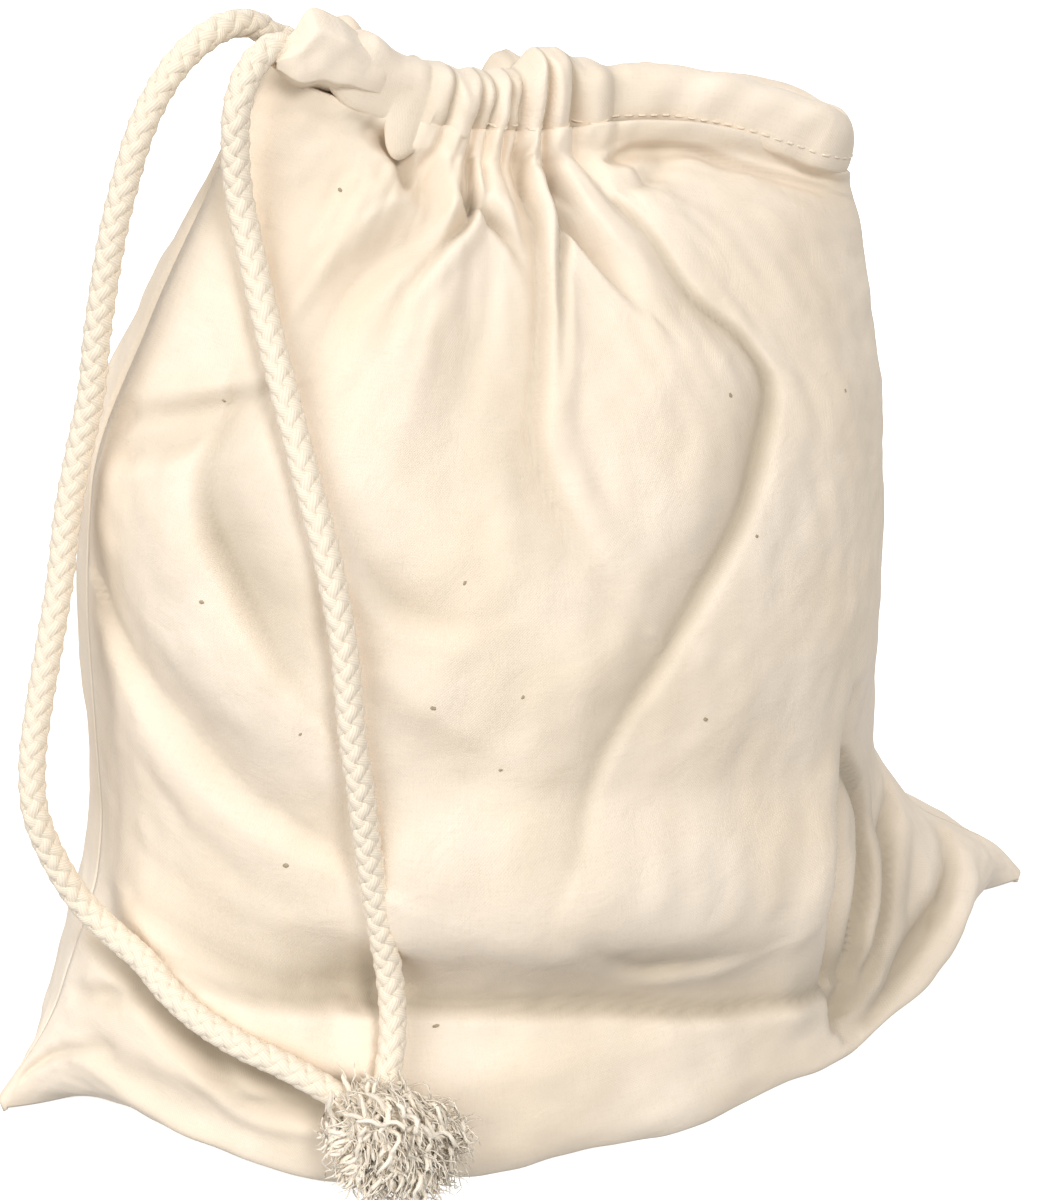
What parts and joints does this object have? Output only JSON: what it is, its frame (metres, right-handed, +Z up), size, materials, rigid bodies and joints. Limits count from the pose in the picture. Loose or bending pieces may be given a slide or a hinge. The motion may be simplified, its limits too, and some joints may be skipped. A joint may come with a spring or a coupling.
{
  "type": "drawstring bag",
  "caption": "Filled cotton drawstring bag standing on its bottom seam, two pointed corners spread on the ground, mouth gathered by a braided cord with a frayed knot",
  "frame": {"origin": "Middle of the standing bag's footprint on the ground plane, measured without the loose cord ends", "axes": "+X along the bottom seam from the left pointed corner to the right one, -Y out of the front panel where the loose cord ends hang, +Z up"},
  "size_m": [0.238, 0.1433, 0.2296],
  "materials": {
    "cotton_cloth": "unbleached plain-weave cotton, matt",
    "cotton_cord": "braided natural cotton cord, matt"
  },
  "bodies": {
    "root": {"front_panel": "cotton_cloth", "back_panel": "cotton_cloth", "casing": "cotton_cloth", "drawstring_in_casing": "cotton_cord", "drawstring_front": "cotton_cord", "drawstring_side": "cotton_cord", "frayed_knot": "cotton_cord"}
  },
  "joints": []
}
